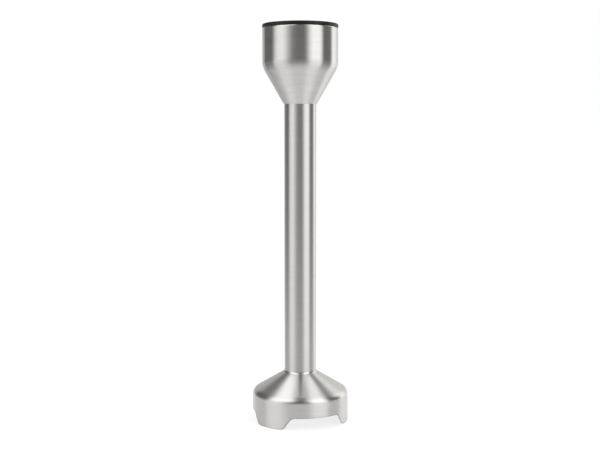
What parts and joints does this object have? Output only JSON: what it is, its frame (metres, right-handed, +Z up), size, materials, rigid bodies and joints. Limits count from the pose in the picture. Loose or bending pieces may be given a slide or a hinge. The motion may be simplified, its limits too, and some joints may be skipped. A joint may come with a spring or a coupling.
{
  "type": "immersion blender shaft",
  "caption": "Detachable blending shaft of an immersion blender: funnel head with bayonet socket, straight steel tube and bell guard over a turning blade.",
  "frame": {"origin": "middle of the circle through the guard's leg tips, in the plane they stand on", "axes": "+Z up the drive axis to the motor socket's mouth; +Y through the middle of one guard leg"},
  "size_m": [0.0768, 0.0768, 0.3161],
  "materials": {
    "brushed_stainless": "fine circumferential brushing, satin",
    "black_nylon": "satin glass-filled nylon",
    "black_rubber": "matt",
    "cast_aluminium": "as cast, faces turned",
    "bearing_steel": "ground and polished",
    "cage_nylon": "moulded",
    "spring_steel": "phosphated",
    "natural_nylon": "turned",
    "turned_stainless": "turned, fine feed marks",
    "bearing_bronze": "sintered, oil filled",
    "ground_shaft_steel": "centreless ground",
    "sintered_steel": "sintered, steam treated",
    "blade_steel": "stamped, ground edges",
    "fastener_steel": "bright stainless"
  },
  "bodies": {
    "housing": {"bearing_circlip": "spring_steel", "bearing_housing": "cast_aluminium", "bell_guard": "brushed_stainless", "coupling_socket": "black_nylon", "head_shell": "brushed_stainless", "lower_bush": "bearing_bronze", "lower_housing": "turned_stainless", "lower_housing_o_ring": "black_rubber", "outer_tube": "brushed_stainless", "preload_spring": "spring_steel", "seal_circlip": "spring_steel", "seal_garter_spring": "spring_steel", "shaft_seal": "black_rubber", "socket_o_ring": "black_rubber", "socket_screws": "fastener_steel", "steady_bush": "natural_nylon", "steady_bush_o_rings": "black_rubber", "upper_bearing_outer_race": "bearing_steel", "upper_bearing_seals": "black_rubber"},
    "rotor": {"drive_shaft": "ground_shaft_steel", "drive_coupling": "sintered_steel", "coupling_pin": "ground_shaft_steel", "upper_bearing_inner_race": "bearing_steel", "shaft_circlips": "spring_steel", "seal_slinger": "black_rubber", "blade_spacer": "turned_stainless", "blade": "blade_steel", "blade_washer": "fastener_steel", "blade_nut": "fastener_steel"},
    "ball_cage": {"bearing_balls": "bearing_steel", "bearing_cage": "cage_nylon"}
  },
  "joints": [
    {"name": "shaft_spin", "type": "hinge", "parent": "housing", "child": "rotor", "pos_m": [0, 0, 0.2656], "axis": [0, 0, 1], "continuous": true},
    {"name": "cage_spin", "type": "hinge", "parent": "housing", "child": "ball_cage", "pos_m": [0, 0, 0.2656], "axis": [0, 0, 1], "continuous": true}
  ],
  "couplings": [
    {"joint": "cage_spin", "follows": "shaft_spin", "ratio": 0.3677}
  ]
}
